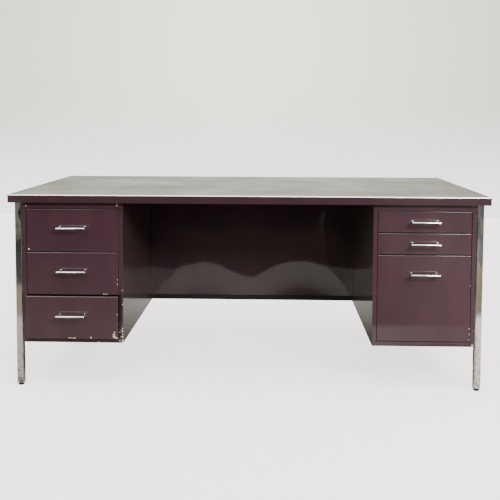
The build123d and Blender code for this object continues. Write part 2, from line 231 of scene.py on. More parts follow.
class DeskStageSettings(bpy.types.PropertyGroup):
    """Camera and light of the studio."""

    lens: bpy.props.FloatProperty(
        name="Lens", description="Focal length of the camera",
        subtype="DISTANCE_CAMERA", default=54.68)
    camera_place: bpy.props.FloatVectorProperty(
        name="Camera place", description="Where the camera stands",
        subtype="TRANSLATION", default=(0.08898, -3.28378, 1.0441))
    camera_turn: bpy.props.FloatVectorProperty(
        name="Camera turn", description="Yaw to the left, pitch down and roll of the camera",
        subtype="EULER", default=(math.radians(1.601), math.radians(3.654), math.radians(0.212)))
    camera_shift: bpy.props.FloatProperty(
        name="Camera shift", description="Vertical shift of the lens, as a share of the picture",
        subtype="FACTOR", default=-0.16986)
    ambient: bpy.props.FloatProperty(
        name="Ambient", description="Strength of the surround as a light", default=0.15)
    backdrop_glow: bpy.props.FloatProperty(
        name="Backdrop glow", description="Strength of the lit backdrop", default=2.5)
    overhead: bpy.props.FloatProperty(
        name="Overhead", description="Strength of the wide soft light above", default=5.7)
    overhead_from: bpy.props.FloatVectorProperty(
        name="Overhead from", description="Direction that the overhead light comes from",
        subtype="XYZ", default=(0.1, -0.22, 1.0))
    overhead_angle: bpy.props.FloatProperty(
        name="Overhead angle", description="How wide the overhead light looks from the desk",
        subtype="ANGLE", unit="ROTATION", default=math.radians(62))
    key: bpy.props.FloatProperty(
        name="Key", description="Power of the soft light at the right front",
        subtype="POWER", unit="POWER", default=140.0)
    key_place: bpy.props.FloatVectorProperty(
        name="Key place", description="Where the soft light at the right front hangs",
        subtype="TRANSLATION", default=(2.0, -3.2, 2.3))
    floor_glow: bpy.props.FloatProperty(
        name="Floor glow", description="Light from below that softens the shadow", default=2.35)
    fill: bpy.props.FloatProperty(
        name="Fill", description="Power of the soft light at the left front",
        subtype="POWER", unit="POWER", default=32.0)
    fill_place: bpy.props.FloatVectorProperty(
        name="Fill place", description="Where the soft light at the left front hangs",
        subtype="TRANSLATION", default=(-1.9, -3.2, 2.3))
    light_size: bpy.props.FloatVectorProperty(
        name="Light size", description="Width and height of each soft light at the front",
        size=2, subtype="XYZ", default=(1.2, 0.9))
    paper: bpy.props.FloatVectorProperty(
        name="Paper", description="Pale floor", subtype="COLOR", default=linear("#F1E6EA"))
    surround: bpy.props.FloatVectorProperty(
        name="Surround", description="Pale surround above the floor",
        subtype="COLOR", default=linear("#E6E5D6"))


# ------------------------------------------------------------------ nodes
def add(tree, kind, sockets=None, **settings):
    """Adds a shader node. Settings are its own, and each socket is given a value or linked from a socket."""
    made = tree.nodes.new("ShaderNode" + kind)
    for name, value in settings.items():
        setattr(made, name, value)
    for name, value in (sockets or {}).items():
        if isinstance(value, bpy.types.NodeSocket):
            tree.links.new(value, made.inputs[name])
        else:
            made.inputs[name].default_value = value
    return made


def new_material(name):
    """An empty material, its tree and the socket that its surface goes into."""
    material = bpy.data.materials.new(name)
    material.use_nodes = True
    tree = material.node_tree
    tree.nodes.clear()
    output = add(tree, "OutputMaterial")
    return material, tree, output.inputs["Surface"]


def per_metre(size_mm):
    """A texture's scale on Object coordinates for features of a size in millimetres."""
    return 1000.0 / size_mm


# ------------------------------------------------------------------ finishes
def chip_mask(tree, place, chips):
    """A mask of ragged chips: each is a point in metres and a radius in millimetres."""
    rim = add(tree, "TexNoise", {"Vector": place, "Scale": per_metre(5.0), "Detail": 3.0, "Roughness": 0.65})
    joined = 0.0
    for point, radius in chips:
        distance = add(tree, "VectorMath", {0: place, 1: point}, operation="DISTANCE")
        ragged = add(tree, "Math", {0: rim.outputs["Fac"], 1: -radius * CHIP_SPREAD * MM,
                                    2: distance.outputs["Value"]}, operation="MULTIPLY_ADD")
        inside = add(tree, "Math", {0: ragged.outputs["Value"], 1: 0.0}, operation="LESS_THAN")
        either = add(tree, "Math", {0: joined, 1: inside.outputs["Value"]}, operation="MAXIMUM")
        joined = either.outputs["Value"]
    return joined


def gap_shade_mask(tree, place, low, high):
    """A mask of a box with ragged ends, for the painted shade in a gap."""
    inward = add(tree, "Mapping", {"Vector": place, "Location": (low + high) / 2, "Scale": (high - low) / 2},
                 vector_type="TEXTURE")
    aside = add(tree, "VectorMath", {0: inward.outputs["Vector"]}, operation="ABSOLUTE")
    parts = add(tree, "SeparateXYZ", {"Vector": aside.outputs["Vector"]})
    across = add(tree, "Math", {0: parts.outputs["X"], 1: parts.outputs["Y"]}, operation="MAXIMUM")
    most = add(tree, "Math", {0: across.outputs["Value"], 1: parts.outputs["Z"]}, operation="MAXIMUM")
    rim = add(tree, "TexNoise", {"Vector": place, "Scale": per_metre(12.0), "Detail": 3.0})
    ragged = add(tree, "Math", {0: rim.outputs["Fac"], 1: GAP_SHADE_RAG, 2: most.outputs["Value"]},
                 operation="MULTIPLY_ADD")
    inside = add(tree, "Math", {0: ragged.outputs["Value"], 1: 1.0 + GAP_SHADE_RAG / 2}, operation="LESS_THAN")
    return inside.outputs["Value"]


def edge_mask(tree, place):
    """Nicks along sharp edges, where the rounded normal leaves the true one and a noise is high enough. They
    are narrower than a sheet is thick, so that they stay off its faces."""
    rounded = add(tree, "Bevel", {"Radius": NICK_WIDTH * MM}, samples=4)
    true = add(tree, "NewGeometry")
    match = add(tree, "VectorMath", {0: rounded.outputs["Normal"], 1: true.outputs["True Normal"]},
                operation="DOT_PRODUCT")
    edge = add(tree, "MapRange", {"Value": match.outputs["Value"], "From Min": 0.97, "From Max": 0.86})
    long = add(tree, "TexNoise", {"Vector": place, "Scale": per_metre(22.0), "Detail": 6.0, "Roughness": 0.7})
    nick = add(tree, "MapRange", {"Value": long.outputs["Fac"], "From Min": 1.0 - NICK_SHARE,
                                  "From Max": 1.03 - NICK_SHARE})
    both = add(tree, "Math", {0: edge.outputs["Result"], 1: nick.outputs["Result"]}, operation="MULTIPLY")
    return both.outputs["Value"]


def dust_film(tree, place, paint, film):
    """A film of dust on a colour, run down by damp in upright streaks."""
    upright = add(tree, "Mapping", {"Vector": place, "Scale": (1.0, 1.0, 0.12)})
    run = add(tree, "TexNoise", {"Vector": upright.outputs["Vector"], "Scale": per_metre(16.0),
                                 "Detail": 4.0})
    dusty = add(tree, "MapRange", {"Value": run.outputs["Fac"], "From Min": 0.3, "From Max": 0.7,
                                   "To Min": film * DUST_THIN, "To Max": film})
    return add(tree, "Mix", {0: dusty.outputs["Result"], 6: paint, 7: rgba(linear(DUST))}, data_type="RGBA")


def rubbed_edge(tree, place, colour, roughness, rub):
    """Sockets for a folded edge that forearms have polished through the enamel, down to bright steel, above a
    ragged line."""
    front, top = rub
    apart = add(tree, "SeparateXYZ", {"Vector": place})
    rag = add(tree, "TexNoise", {"Vector": place, "Scale": per_metre(30.0), "Detail": 6.0, "Roughness": 0.7})
    fall = add(tree, "Math", {0: rag.outputs["Fac"], 1: RUB_RAG * MM, 2: top - RUB_DEPTH * MM},
               operation="MULTIPLY_ADD")
    above = add(tree, "Math", {0: apart.outputs["Z"], 1: fall.outputs["Value"]}, operation="GREATER_THAN")
    ahead = add(tree, "Math", {0: apart.outputs["Y"], 1: front + RUB_REACH * MM}, operation="LESS_THAN")
    bare = add(tree, "Math", {0: above.outputs["Value"], 1: ahead.outputs["Value"]}, operation="MULTIPLY")
    bare_colour = add(tree, "Mix", {0: bare.outputs["Value"], 6: colour, 7: rgba(linear(BARE_STEEL))},
                      data_type="RGBA")
    bare_rough = add(tree, "Mix", {0: bare.outputs["Value"], 2: roughness, 3: 0.3}, data_type="FLOAT")
    return {"Base Color": bare_colour.outputs[2], "Roughness": bare_rough.outputs[0],
            "Metallic": bare.outputs["Value"]}


def stove_enamel(name, finish, chips=(), spots=(), rub=None, shade=1.0, bands=(), film=0.0):
    """Stove enamel, sprayed and baked on folded steel: a glossy skin over a hazier body, faint waviness from
    the rolled sheet, redder patches where it is thin, chips down to the cream undercoat and spots of rust. A
    painted shade may darken it all over, a film of dust may lie on it, and bands of painted shade may darken its
    gaps. Where the front and top of a rubbed edge are given, that edge shows bright steel."""
    material, tree, surface = new_material(name)
    place = add(tree, "TexCoord").outputs["Object"]
    tall = add(tree, "Mapping", {"Vector": place, "Scale": (1.0, 1.0, 0.35)})
    patch = add(tree, "TexNoise", {"Vector": tall.outputs["Vector"], "Scale": per_metre(90.0), "Detail": 1.0})
    patchy = add(tree, "MapRange", {"Value": patch.outputs["Fac"], "From Min": 0.42, "From Max": 0.7})
    # A painted shade, where given, darkens the whole enamel.
    paint = add(tree, "Mix", {0: patchy.outputs["Result"], 6: rgba([c * shade for c in finish.enamel]),
                           7: rgba([c * shade for c in finish.enamel_patch])}, data_type="RGBA")
    if film:
        paint = dust_film(tree, place, paint.outputs[2], film)
    # Bands of painted shade in the gaps round the ajar drawer.
    for low, high in bands:
        paint = add(tree, "Mix", {0: gap_shade_mask(tree, place, low, high), 6: paint.outputs[2],
                                  7: rgba(linear(PAINTED_GAP_SHADE))}, data_type="RGBA")

    chipped = chip_mask(tree, place, chips)
    spotted = chip_mask(tree, place, spots)
    rusted = add(tree, "Math", {0: spotted, 1: edge_mask(tree, place)}, operation="MAXIMUM")
    worn = add(tree, "Math", {0: chipped, 1: rusted.outputs["Value"]}, operation="MAXIMUM")
    bared = add(tree, "Mix", {0: chipped, 6: rgba(finish.rust), 7: rgba(finish.undercoat)}, data_type="RGBA")
    colour = add(tree, "Mix", {0: worn.outputs["Value"], 6: paint.outputs[2], 7: bared.outputs[2]},
                 data_type="RGBA").outputs[2]

    rubbed = add(tree, "TexNoise", {"Vector": place, "Scale": per_metre(45.0), "Detail": 5.0,
                                    "Roughness": 0.65})
    gloss = add(tree, "MapRange", {"Value": rubbed.outputs["Fac"], "To Min": 0.38, "To Max": 0.55})
    roughness = add(tree, "Mix", {0: worn.outputs["Value"], 2: gloss.outputs["Result"], 3: 0.8},
                    data_type="FLOAT").outputs[0]

    wave = add(tree, "TexNoise", {"Vector": place, "Scale": per_metre(110.0), "Detail": 1.0})
    broken = add(tree, "Math", {0: chipped, 1: spotted}, operation="MAXIMUM")
    height = add(tree, "Math", {0: broken.outputs["Value"], 1: CHIP_SINK, 2: wave.outputs["Fac"]},
                 operation="MULTIPLY_ADD")
    relief = add(tree, "Bump", {"Height": height.outputs["Value"], "Strength": 0.5, "Distance": 0.7 * MM})
    sockets = {"Base Color": colour, "Roughness": roughness, "Normal": relief.outputs["Normal"], "IOR": 1.5,
               "Specular IOR Level": 0.25, "Coat Weight": 1.0, "Coat Roughness": 0.05, "Coat IOR": 1.52,
               "Coat Normal": relief.outputs["Normal"]}
    if rub:
        sockets.update(rubbed_edge(tree, place, colour, roughness, rub))
    shader = add(tree, "BsdfPrincipled", sockets)
    tree.links.new(shader.outputs["BSDF"], surface)
    return material


def satin_enamel(name, code, sheen_low, sheen_high):
    """Thin satin enamel on inner steel: one coat, duller, with a faint spray texture."""
    material, tree, surface = new_material(name)
    place = add(tree, "TexCoord").outputs["Object"]
    cloud = add(tree, "TexNoise", {"Vector": place, "Scale": per_metre(60.0), "Detail": 4.0})
    base = linear(code)
    colour = add(tree, "Mix", {0: cloud.outputs["Fac"], 6: rgba([c * 0.85 for c in base]),
                               7: rgba([c * 1.15 for c in base])}, data_type="RGBA")
    gloss = add(tree, "MapRange", {"Value": cloud.outputs["Fac"], "To Min": sheen_low, "To Max": sheen_high})
    spray = add(tree, "TexNoise", {"Vector": place, "Scale": per_metre(1.2), "Detail": 2.0})
    relief = add(tree, "Bump", {"Height": spray.outputs["Fac"], "Strength": 0.15, "Distance": 0.08 * MM})
    shader = add(tree, "BsdfPrincipled", {"Base Color": colour.outputs[2],
                                          "Roughness": gloss.outputs["Result"],
                                          "Normal": relief.outputs["Normal"], "IOR": 1.5})
    tree.links.new(shader.outputs["BSDF"], surface)
    return material


def chrome_plate(name):
    """Bright chrome plate on polished steel: mirror-like and a little wavy, with finger haze, painted shade on
    the faces that look down, scuffs near the floor and a few pinholes of rust."""
    material, tree, surface = new_material(name)
    place = add(tree, "TexCoord").outputs["Object"]
    haze = add(tree, "TexNoise", {"Vector": place, "Scale": per_metre(35.0), "Detail": 5.0, "Roughness": 0.6})
    gloss = add(tree, "MapRange", {"Value": haze.outputs["Fac"], "From Min": 0.35, "From Max": 0.75,
                                   "To Min": 0.03, "To Max": 0.12})
    pinhole = add(tree, "TexVoronoi", {"Vector": place, "Scale": per_metre(9.0), "Randomness": 1.0})
    spread = add(tree, "TexNoise", {"Vector": place, "Scale": per_metre(70.0), "Detail": 2.0})
    size = add(tree, "MapRange", {"Value": spread.outputs["Fac"], "From Min": 0.55, "From Max": 0.8,
                                  "To Min": 0.0, "To Max": 0.13})
    pit = add(tree, "Math", {0: pinhole.outputs["Distance"], 1: size.outputs["Result"]},
              operation="LESS_THAN")
    # Faces that look down are darkened: painted shade, as under the pulls' bars.
    side = add(tree, "SeparateXYZ", {"Vector": add(tree, "NewGeometry").outputs["Normal"]})
    under = add(tree, "MapRange", {"Value": side.outputs["Z"], "From Min": -0.1, "From Max": -0.45})
    plate = add(tree, "Mix", {0: under.outputs["Result"], 6: rgba(linear(CHROME)),
                              7: rgba(linear(CHROME_UNDERSIDE_SHADE))}, data_type="RGBA")
    height = add(tree, "SeparateXYZ", {"Vector": place})
    kicked = add(tree, "MapRange", {"Value": height.outputs["Z"], "From Min": 0.19, "From Max": 0.03})
    scuff = add(tree, "TexNoise", {"Vector": place, "Scale": per_metre(13.0), "Detail": 6.0,
                                   "Roughness": 0.7})
    scuffed = add(tree, "MapRange", {"Value": scuff.outputs["Fac"], "From Min": 0.52, "From Max": 0.6})
    fleck = add(tree, "Math", {0: kicked.outputs["Result"], 1: scuffed.outputs["Result"]},
                operation="MULTIPLY")
    dulled = add(tree, "Mix", {0: fleck.outputs["Value"], 6: plate.outputs[2], 7: rgba(linear(CHROME_FLECK))},
                 data_type="RGBA")
    colour = add(tree, "Mix", {0: pit.outputs["Value"], 6: dulled.outputs[2], 7: rgba(linear(CHROME_RUST))},
                 data_type="RGBA")
    tube = add(tree, "Mapping", {"Vector": place, "Scale": (1.0, 1.0, 0.45)})
    wave = add(tree, "TexNoise", {"Vector": tube.outputs["Vector"], "Scale": per_metre(28.0), "Detail": 1.0})
    relief = add(tree, "Bump", {"Height": wave.outputs["Fac"], "Strength": 0.6, "Distance": 0.7 * MM})
    metal = add(tree, "Math", {0: 1.0, 1: pit.outputs["Value"]}, operation="SUBTRACT")
    roughness = add(tree, "Math", {0: pit.outputs["Value"], 1: 0.6, 2: gloss.outputs["Result"]},
                    operation="MULTIPLY_ADD")
    shader = add(tree, "BsdfPrincipled", {"Base Color": colour.outputs[2], "Metallic": metal.outputs["Value"],
                                          "Roughness": roughness.outputs["Value"],
                                          "Normal": relief.outputs["Normal"]})
    tree.links.new(shader.outputs["BSDF"], surface)
    return material


def decorative_laminate(name, finish):
    """High-pressure laminate, pressed to a satin plate: grey with a printed fleck, hand-polished patches, and a
    dark strip of painted shade along its sides and rear, by the lip. The fleck is drawn coarse enough to show."""
    material, tree, surface = new_material(name)
    place = add(tree, "TexCoord").outputs["Object"]
    fleck = add(tree, "TexNoise", {"Vector": place, "Scale": per_metre(5.0), "Detail": 4.0, "Roughness": 0.7})
    fleck_share = add(tree, "MapRange", {"Value": fleck.outputs["Fac"], "From Min": 0.42, "From Max": 0.62})
    print_colour = add(tree, "Mix", {0: fleck_share.outputs["Result"], 6: rgba(finish.laminate),
                                     7: rgba(finish.laminate_fleck)}, data_type="RGBA")
    low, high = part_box("top_laminate")
    inward = add(tree, "Mapping", {"Vector": place, "Location": (low + high) / 2, "Scale": (high - low) / 2},
                 vector_type="TEXTURE")
    aside = add(tree, "VectorMath", {0: inward.outputs["Vector"]}, operation="ABSOLUTE")
    sides = add(tree, "SeparateXYZ", {"Vector": aside.outputs["Vector"]})
    behind = add(tree, "SeparateXYZ", {"Vector": inward.outputs["Vector"]})
    # A dark strip along the sides and rear: painted shade of the lip's inner face.
    by_side = add(tree, "MapRange", {"Value": sides.outputs["X"], "From Min": 0.991, "From Max": 0.995})
    by_rear = add(tree, "MapRange", {"Value": behind.outputs["Y"], "From Min": 0.978, "From Max": 0.986})
    lip_shade_mask = add(tree, "Math", {0: by_side.outputs["Result"], 1: by_rear.outputs["Result"]},
                   operation="MAXIMUM")
    lip_shaded_colour = add(tree, "Mix", {0: lip_shade_mask.outputs["Value"], 6: print_colour.outputs[2],
                             7: rgba(linear(LIP_PAINTED_SHADE))}, data_type="RGBA")
    use = add(tree, "TexNoise", {"Vector": place, "Scale": per_metre(240.0), "Detail": 5.0,
                                 "Roughness": 0.55})
    gloss = add(tree, "MapRange", {"Value": use.outputs["Fac"], "From Min": 0.3, "From Max": 0.7,
                                   "To Min": 0.3, "To Max": 0.46})
    plate = add(tree, "TexNoise", {"Vector": place, "Scale": per_metre(0.9), "Detail": 2.0})
    relief = add(tree, "Bump", {"Height": plate.outputs["Fac"], "Strength": 0.1, "Distance": 0.05 * MM})
    dull = add(tree, "Math", {0: lip_shade_mask.outputs["Value"], 1: 0.3, 2: gloss.outputs["Result"]},
               operation="MULTIPLY_ADD")
    shader = add(tree, "BsdfPrincipled", {"Base Color": lip_shaded_colour.outputs[2], "Roughness": dull.outputs["Value"],
                                          "Normal": relief.outputs["Normal"], "IOR": 1.43})
    tree.links.new(shader.outputs["BSDF"], surface)
    return material


def zinc_plate(name):
    """Bright zinc plate on rolled steel: cool grey with soft crystalline clouds and rolling lines."""
    material, tree, surface = new_material(name)
    place = add(tree, "TexCoord").outputs["Object"]
    cloud = add(tree, "TexNoise", {"Vector": place, "Scale": per_metre(8.0), "Detail": 3.0})
    colour = add(tree, "Mix", {0: cloud.outputs["Fac"], 6: rgba(linear("#8F9294")),
                               7: rgba(linear("#B4B6B8"))}, data_type="RGBA")
    along = add(tree, "Mapping", {"Vector": place, "Scale": (1.0, 0.02, 1.0)})
    lines = add(tree, "TexNoise", {"Vector": along.outputs["Vector"], "Scale": per_metre(0.8), "Detail": 2.0})
    gloss = add(tree, "MapRange", {"Value": lines.outputs["Fac"], "To Min": 0.28, "To Max": 0.46})
    shader = add(tree, "BsdfPrincipled", {"Base Color": colour.outputs[2], "Metallic": 1.0,
                                          "Roughness": gloss.outputs["Result"]})
    tree.links.new(shader.outputs["BSDF"], surface)
    return material


def moulded_plastic(name, code, low, high, grain_mm):
    """Injection-moulded plastic or rubber: one dull colour with a fine tool grain."""
    material, tree, surface = new_material(name)
    place = add(tree, "TexCoord").outputs["Object"]
    grain = add(tree, "TexNoise", {"Vector": place, "Scale": per_metre(grain_mm), "Detail": 3.0})
    base = linear(code)
    colour = add(tree, "Mix", {0: grain.outputs["Fac"], 6: rgba([c * 0.9 for c in base]),
                               7: rgba([min(1.0, c * 1.1) for c in base])}, data_type="RGBA")
    gloss = add(tree, "MapRange", {"Value": grain.outputs["Fac"], "To Min": low, "To Max": high})
    relief = add(tree, "Bump", {"Height": grain.outputs["Fac"], "Strength": 0.2, "Distance": 0.1 * MM})
    shader = add(tree, "BsdfPrincipled", {"Base Color": colour.outputs[2],
                                          "Roughness": gloss.outputs["Result"],
                                          "Normal": relief.outputs["Normal"], "IOR": 1.5})
    tree.links.new(shader.outputs["BSDF"], surface)
    return material


def chipboard(name):
    """Pressed chipboard: pale and dark wood chips a few millimetres long in resin."""
    material, tree, surface = new_material(name)
    place = add(tree, "TexCoord").outputs["Object"]
    chips = add(tree, "TexVoronoi", {"Vector": place, "Scale": per_metre(4.0)})
    tone = add(tree, "ValToRGB", {"Fac": chips.outputs["Color"]})
    tone.color_ramp.elements[0].color = rgba(linear("#8A6A42"))
    tone.color_ramp.elements[1].color = rgba(linear("#CDAE7C"))
    relief = add(tree, "Bump", {"Height": chips.outputs["Distance"], "Strength": 0.3, "Distance": 0.3 * MM})
    shader = add(tree, "BsdfPrincipled", {"Base Color": tone.outputs["Color"], "Roughness": 0.85,
                                          "Normal": relief.outputs["Normal"]})
    tree.links.new(shader.outputs["BSDF"], surface)
    return material


# Chips and rust spots by piece. Each stands in from the right edge and up from the bottom edge of the piece's
# front, and has a radius, all in millimetres.
CHIPS = {
    "left_front_frame": (
        (3, 5, 3.4), (2, 13, 2.4), (3, 24, 3.0), (2, 33, 2.4), (3, 45, 2.6), (2, 56, 2.2), (13, 9, 2.2),
        (13, 42, 1.8), (22, 531, 2.6), (22, 540, 2.4), (2, 150, 1.8), (2, 205, 1.5), (372, 529, 2.0),
        (94, 3, 2.0), (70, 2, 1.6)),
    "left_drawer_1_front": ((345, 9, 3.0),),
    "left_drawer_2_front": ((46, 3, 1.8), (56, 3, 2.0), (4, 42, 1.7), (3, 60, 1.5)),
    "left_drawer_3_front": (
        (13, 26, 2.8), (16, 18, 3.2), (12, 8, 4.0), (5, 5, 3.4), (18, 9, 2.4), (166, 3, 2.2), (173, 2, 2.6),
        (181, 2, 2.4), (188, 3, 2.2), (104, 5, 2.8), (2, 96, 1.6)),
    "right_front_frame": ((7, 6, 2.2), (14, 538, 1.8)),
    "file_drawer_front": ((2, 30, 1.8), (3, 52, 1.6), (2, 8, 2.0), (2, 216, 1.6)),
}
SPOTS = {
    "left_front_frame": ((9, 24, 3.0), (8, 50, 2.6), (5, 64, 2.0), (16, 535, 1.8)),
    "left_drawer_3_front": ((10, 16, 2.4), (20, 16, 1.8), (3, 60, 1.6)),
    "right_front_frame": ((7, 6, 5.2), (2, 60, 1.6), (42, 3, 1.8)),
}


def places_on(node, marks):
    """Points on a piece's front face for marks given from its right and bottom edges, with their radii."""
    low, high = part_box(node)
    return [((high.x - inward * MM, low.y, low.z + up * MM), radius) for inward, up, radius in marks]


def painted_gap_shade_on(node):
    """Boxes of painted shade in the gaps round the third drawer, which stands ajar: the stile beside it, and the
    returned top edge of its front. The margins past the edges are in millimetres."""
    low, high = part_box(node)
    ajar_low, ajar_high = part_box("left_drawer_3_front")
    if node == "left_front_frame":
        return [(Vector((ajar_high.x, low.y, ajar_low.z)) - Vector((2, 2, 1)) * MM,
                 Vector((high.x, low.y, ajar_high.z)) + Vector((-7, 30, 6)) * MM)]
    if node == "left_drawer_3_front":
        return [(Vector((low.x, low.y, high.z)) + Vector((-9, 2.5, -3)) * MM, high + Vector((9, 9, 9)) * MM)]
    return []


SLOT_MATERIALS = {}


def material_for(slot):
    """The finish made for a material slot of the record."""
    return SLOT_MATERIALS[slot]


def wear(obj, slot):
    """Gives a new piece the finish of a slot."""
    obj.data.materials.clear()
    obj.data.materials.append(material_for(slot))


# ------------------------------------------------------------------ pieces
def link_mesh(name, shape, smooth_angle=35):
    """Turns a bmesh into an object at the origin, smooth except across edges sharper than an angle."""
    bmesh.ops.recalc_face_normals(shape, faces=shape.faces)
    mesh = bpy.data.meshes.new(name)
    shape.to_mesh(mesh)
    shape.free()
    obj = bpy.data.objects.new(name, mesh)
    bpy.context.scene.collection.objects.link(obj)
    mesh.shade_smooth()
    mesh.set_sharp_from_angle(angle=math.radians(smooth_angle))
    return obj


def turned_rod(shape, start, end, radius, rounding, segments=POST_SEGMENTS):
    """Adds a round rod between two points to a bmesh, with rounded ends."""
    axis = end - start
    made = bmesh.ops.create_cone(shape, cap_ends=True, segments=segments, radius1=radius, radius2=radius,
                                 depth=axis.length)
    verts = made["verts"]
    rims = dict.fromkeys(edge for vert in verts for edge in vert.link_edges
                         if any(len(face.verts) > 4 for face in edge.link_faces))
    if rounding > 0:
        bevelled = bmesh.ops.bevel(shape, geom=list(rims), offset=rounding, affect="EDGES", segments=5,
                                   profile=0.5, material=-1)
        kept = [vert for vert in verts if vert.is_valid]
        verts = list(dict.fromkeys([*kept, *bevelled["verts"]]))
    turn = axis.to_track_quat("Z", "Y").to_matrix().to_4x4()
    bmesh.ops.transform(shape, matrix=Matrix.Translation((start + end) / 2) @ turn, verts=verts)


def build_pull(drawer, hardware):
    """One bar pull: a bar with rounded ends on two posts with collars, standing on its drawer front."""
    low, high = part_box(f"{drawer}_pull")
    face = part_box(f"{drawer}_front")[0].y
    radius = (high.z - low.z) / 2
    middle = Vector(((low.x + high.x) / 2, low.y + radius, (low.z + high.z) / 2))
    half = Vector(((high.x - low.x) / 2, 0, 0))
    shape = bmesh.new()
    turned_rod(shape, middle - half, middle + half, radius, hardware.bar_rounding, BAR_SEGMENTS)
    for side in (-1, 1):
        foot = Vector((middle.x + side * hardware.post_spacing / 2, face, middle.z))
        top = Vector((foot.x, middle.y, middle.z))
        turned_rod(shape, top, foot, hardware.post_radius, 0)
        collar = Vector((foot.x, face - COLLAR_HEIGHT * MM, foot.z))
        turned_rod(shape, collar, foot, hardware.collar_radius, COLLAR_ROUNDING * MM)
    return link_mesh(f"{drawer}_bar_pull", shape)


def build_modesty_sheet(hardware):
    """The modesty panel's thin front sheet, flat at its edges and waved between them as rolled steel is."""
    low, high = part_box("modesty_panel")
    size = high - low
    shape = bmesh.new()
    bmesh.ops.create_grid(shape, x_segments=SHEET_CELLS[0], y_segments=SHEET_CELLS[1], size=0.5)
    upright = Matrix.Rotation(math.radians(90), 4, "X")
    stretch = Matrix.Diagonal((size.x, 1.0, size.z, 1.0))
    place = Matrix.Translation(((low.x + high.x) / 2, low.y, (low.z + high.z) / 2))
    bmesh.ops.transform(shape, matrix=place @ stretch @ upright, verts=shape.verts)
    for vert in shape.verts:
        across = math.pi * (vert.co.x - low.x) / size.x
        up = math.pi * (vert.co.z - low.z) / size.z
        vert.co.y -= hardware.sheet_wave * sum(share * math.sin(wide * across) * math.sin(tall * up)
                                               for wide, tall, share in SHEET_WAVES)
    bmesh.ops.solidify(shape, geom=shape.faces, thickness=-(high.y - low.y))
    return link_mesh("modesty_sheet", shape)


class DESK_OT_finishes(bpy.types.Operator):
    """Makes every finish and puts it on the CAD pieces that keep their own shape."""

    bl_idname = "desk.finishes"
    bl_label = "Finishes"

    def execute(self, context):
        finish = context.scene.desk_finish
        SLOT_MATERIALS.update({
            "enamel": stove_enamel("stove enamel, gloss", finish),
            "tray_enamel": satin_enamel("satin enamel, trays", "#3B2B2C", 0.35, 0.5),
            "inner_steel": satin_enamel("satin enamel, inner steel", "#33282A", 0.4, 0.55),
            "dark_rail": satin_enamel("dull enamel, rail", "#17120F", 0.55, 0.7),
            "laminate": decorative_laminate("decorative laminate, satin", finish),
            "chipboard": chipboard("chipboard, pressed"),
            "chrome": chrome_plate("chrome plate, polished"),
            "zinc_steel": zinc_plate("zinc plate, bright"),
            "white_nylon": moulded_plastic("natural nylon, moulded", "#DAD6C8", 0.35, 0.5, 1.0),
            "black_nylon": moulded_plastic("black nylon, moulded", "#1C1B1A", 0.4, 0.55, 1.0),
            "glide_rubber": moulded_plastic("hard rubber, moulded", "#1A1816", 0.6, 0.75, 1.5),
        })
        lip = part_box("top_edge")
        # The edge band's enamel is darkened all over: painted shade, as the band hangs nearest the lamps.
        own = {"top_edge": stove_enamel("stove enamel, rubbed front edge", finish,
                                        rub=(lip[0].y, lip[1].z), shade=BAND_PAINTED_SHADE)}
        for side, share in DUST_SHARES.items():
            own[f"{side}_inner_side"] = stove_enamel(f"stove enamel, dusty, {side}", finish, film=share)
        for node in CHIPS:
            own[node] = stove_enamel(f"stove enamel, chipped, {node}", finish, places_on(node, CHIPS[node]),
                                     places_on(node, SPOTS.get(node, ())), bands=painted_gap_shade_on(node))
        slots = {entry["node"]: entry["material_slot"] for entry in frame["record"]["subparts"]}
        for name, obj in frame["nodes"].items():
            if not obj.material_slots:
                obj.data.materials.append(material_for(slots[name]))
            for slot in obj.material_slots:
                slot.material = own.get(name) or material_for(slots[name])
        return {"FINISHED"}


class DESK_OT_pulls(bpy.types.Operator):
    """Makes the chrome bar pulls, one for each drawer."""

    bl_idname = "desk.pulls"
    bl_label = "Bar pulls"

    def execute(self, context):
        for drawer in DRAWERS:
            pull = build_pull(drawer, context.scene.desk_hardware)
            wear(pull, "chrome")
            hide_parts(f"{drawer}_pull")
            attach(pull, drawer)
        return {"FINISHED"}


class DESK_OT_modesty(bpy.types.Operator):
    """Makes the waved front sheet of the modesty panel."""

    bl_idname = "desk.modesty"
    bl_label = "Modesty sheet"

    def execute(self, context):
        sheet = build_modesty_sheet(context.scene.desk_hardware)
        wear(sheet, "enamel")
        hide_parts("modesty_panel")
        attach(sheet, ROOT)
        return {"FINISHED"}


# ------------------------------------------------------------------ stage
def soft_light(name, place, aim, size, power):
    """A rectangular soft light that faces a point."""
    data = bpy.data.lights.new(name, "AREA")
    data.shape = "RECTANGLE"
    data.size, data.size_y = size
    data.energy = power
    obj = bpy.data.objects.new(name, data)
    obj.location = place
    obj.rotation_mode = "QUATERNION"
    obj.rotation_quaternion = (Vector(aim) - Vector(place)).to_track_quat("-Z", "Y")
    bpy.context.scene.collection.objects.link(obj)


def flat_sheet(name, drop):
    """A flat square of floor round the desk, a little below the ground or on it."""
    shape = bmesh.new()
    bmesh.ops.create_grid(shape, x_segments=1, y_segments=1, size=FLOOR_HALF)
    bmesh.ops.translate(shape, vec=(0, 0, -drop), verts=shape.verts)
    return link_mesh(name, shape)


def upright_sheet(name):
    """A flat rectangle that stands on the floor at the far end of the room."""
    shape = bmesh.new()
    bmesh.ops.create_grid(shape, x_segments=1, y_segments=1, size=1.0)
    stretch = Matrix.Diagonal((ROOM_WALL_HALF, ROOM_WALL_HEIGHT / 2, 1.0, 1.0))
    stand = Matrix.Translation((0, ROOM_WALL_Y, ROOM_WALL_HEIGHT / 2)) @ Matrix.Rotation(math.radians(90), 4,
                                                                                         "X")
    bmesh.ops.transform(shape, matrix=stand @ stretch, verts=shape.verts)
    return link_mesh(name, shape)


def plain_material(name, colour):
    """A plain matt material for the stage."""
    material, tree, surface = new_material(name)
    shader = add(tree, "BsdfPrincipled", {"Base Color": rgba(colour), "Roughness": 0.9,
                                          "Specular IOR Level": 0.2})
    tree.links.new(shader.outputs["BSDF"], surface)
    return material


